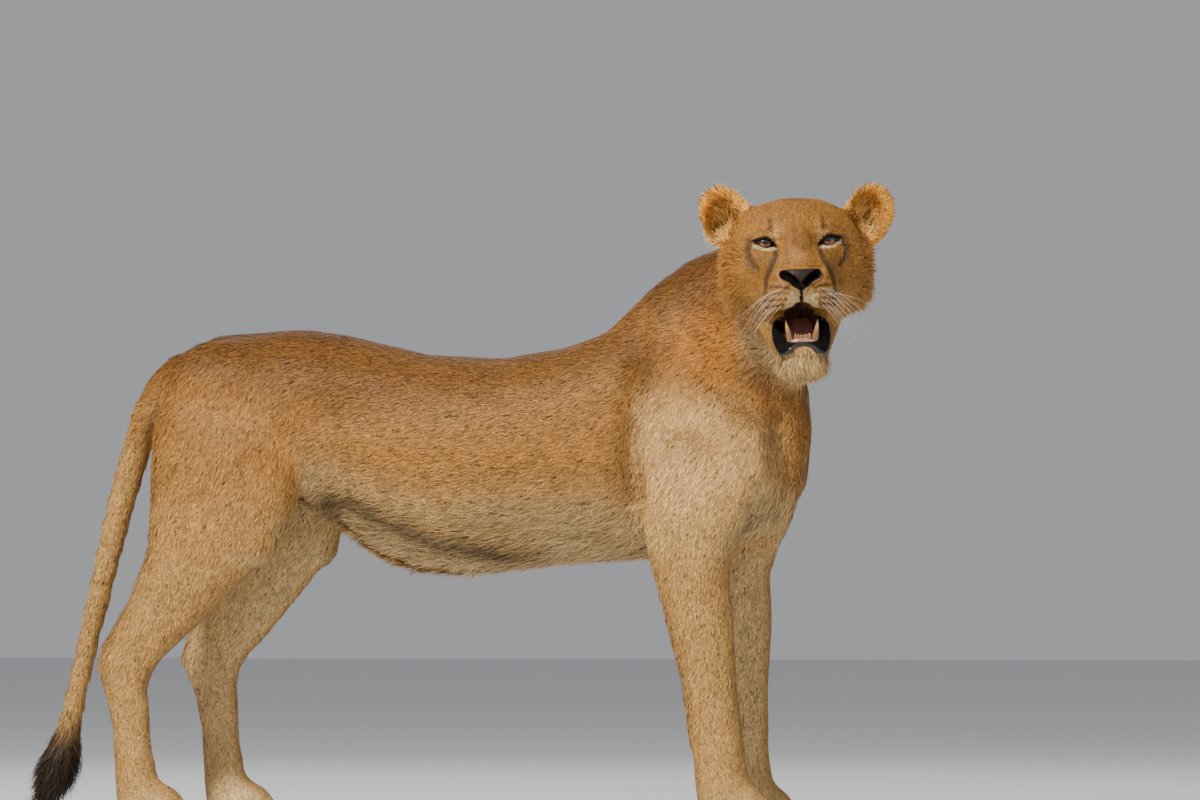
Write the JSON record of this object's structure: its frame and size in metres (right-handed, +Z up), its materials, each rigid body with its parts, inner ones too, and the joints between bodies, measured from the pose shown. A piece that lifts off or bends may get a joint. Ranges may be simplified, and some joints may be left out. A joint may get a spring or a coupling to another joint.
{
  "type": "lioness",
  "caption": "Life-size standing lioness with her head turned square to her right and mouth a little open, a still museum-like model that rests on flat soles.",
  "frame": {"origin": "on the floor, under the middle of the box around the whole animal", "axes": "+X towards the chest, along the body; +Y to the animal's left; +Z up. The head looks to -Y"},
  "size_m": [1.465, 0.5402, 1.0665],
  "materials": {
    "coat": "short tawny fur",
    "pale_coat": "cream chin and jaw fur",
    "tail_coat": "sandy speckled tail fur with a dark end",
    "ear_coat": "orange ear fur",
    "nose_leather": "damp dark nose skin",
    "amber_eye": "wet amber eye",
    "ivory_tooth": "stained ivory teeth on their gum",
    "tongue_flesh": "wet pink tongue"
  },
  "bodies": {
    "root": {"head": "coat", "neck": "coat", "chest": "coat", "belly": "coat", "rump": "coat", "shoulder_right": "coat", "shoulder_left": "coat", "forearm_right": "coat", "forearm_left": "coat", "forepaw_right": "coat", "forepaw_left": "coat", "thigh_right": "coat", "thigh_left": "coat", "shank_right": "coat", "shank_left": "coat", "hind_foot_right": "coat", "hind_foot_left": "coat", "lower_jaw": "pale_coat", "tail_upper": "tail_coat", "tail_middle": "tail_coat", "tail_tuft": "tail_coat", "ear_right": "ear_coat", "ear_left": "ear_coat", "nose": "nose_leather", "eye_right": "amber_eye", "eye_left": "amber_eye", "lower_teeth": "ivory_tooth", "tongue": "tongue_flesh"}
  },
  "joints": []
}
